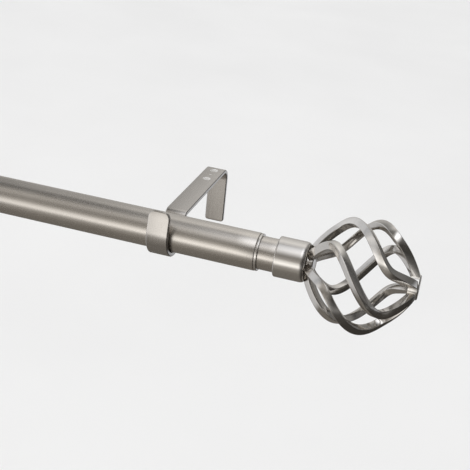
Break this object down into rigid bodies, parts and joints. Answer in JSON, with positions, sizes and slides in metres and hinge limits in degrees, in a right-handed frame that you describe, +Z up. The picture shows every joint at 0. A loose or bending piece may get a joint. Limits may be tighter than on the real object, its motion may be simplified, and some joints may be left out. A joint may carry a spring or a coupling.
{
  "type": "telescoping curtain rod with brackets",
  "caption": "Brushed nickel telescoping curtain rod resting in two open hook wall brackets, with a twisted open cage finial at each end",
  "frame": {"origin": "centre of the right-hand bracket's flat back face, on the wall", "axes": "+X along the rod towards the right-hand finial, +Y into the wall, +Z up"},
  "size_m": [0.9098, 0.153, 0.0766],
  "materials": {
    "tube_nickel": "fine brushing round the tube, satin nickel",
    "cast_nickel": "satin nickel plate over polished casting",
    "strip_nickel": "satin nickel plate on bent steel strip",
    "plain_zinc": "bright zinc plate",
    "glide_nylon": "moulded natural nylon"
  },
  "bodies": {
    "brackets": {"right_bracket": "strip_nickel", "left_bracket": "strip_nickel"},
    "rod": {"outer_tube": "tube_nickel", "tube_liner": "cast_nickel", "left_end_adaptor": "cast_nickel"},
    "extension": {"inner_tube": "tube_nickel", "inner_tube_glide": "glide_nylon", "right_end_insert": "plain_zinc"},
    "right_finial": {"right_stud": "plain_zinc", "right_ferrule": "cast_nickel", "right_cage_hub": "cast_nickel", "right_cage_tip": "cast_nickel", "right_bar_1": "cast_nickel", "right_bar_2": "cast_nickel", "right_bar_3": "cast_nickel", "right_bar_4": "cast_nickel", "right_bar_5": "cast_nickel", "right_bar_6": "cast_nickel"},
    "left_finial": {"left_stud": "plain_zinc", "left_ferrule": "cast_nickel", "left_cage_hub": "cast_nickel", "left_cage_tip": "cast_nickel", "left_bar_1": "cast_nickel", "left_bar_2": "cast_nickel", "left_bar_3": "cast_nickel", "left_bar_4": "cast_nickel", "left_bar_5": "cast_nickel", "left_bar_6": "cast_nickel"}
  },
  "joints": [
    {"name": "rod_lift", "type": "slide", "parent": "brackets", "child": "rod", "axis": [0, 0.1678, 0.9858], "range_m": [0, 0.045]},
    {"name": "tube_extend", "type": "slide", "parent": "rod", "child": "extension", "axis": [1, 0, 0], "range_m": [-0.0105, 0.508]},
    {"name": "right_finial_turn", "type": "hinge", "parent": "extension", "child": "right_finial", "pos_m": [0.0856, -0.115, 0.0185], "axis": [1, 0, 0], "continuous": true},
    {"name": "left_finial_turn", "type": "hinge", "parent": "rod", "child": "left_finial", "pos_m": [-0.6546, -0.115, 0.0185], "axis": [-1, 0, 0], "continuous": true}
  ]
}
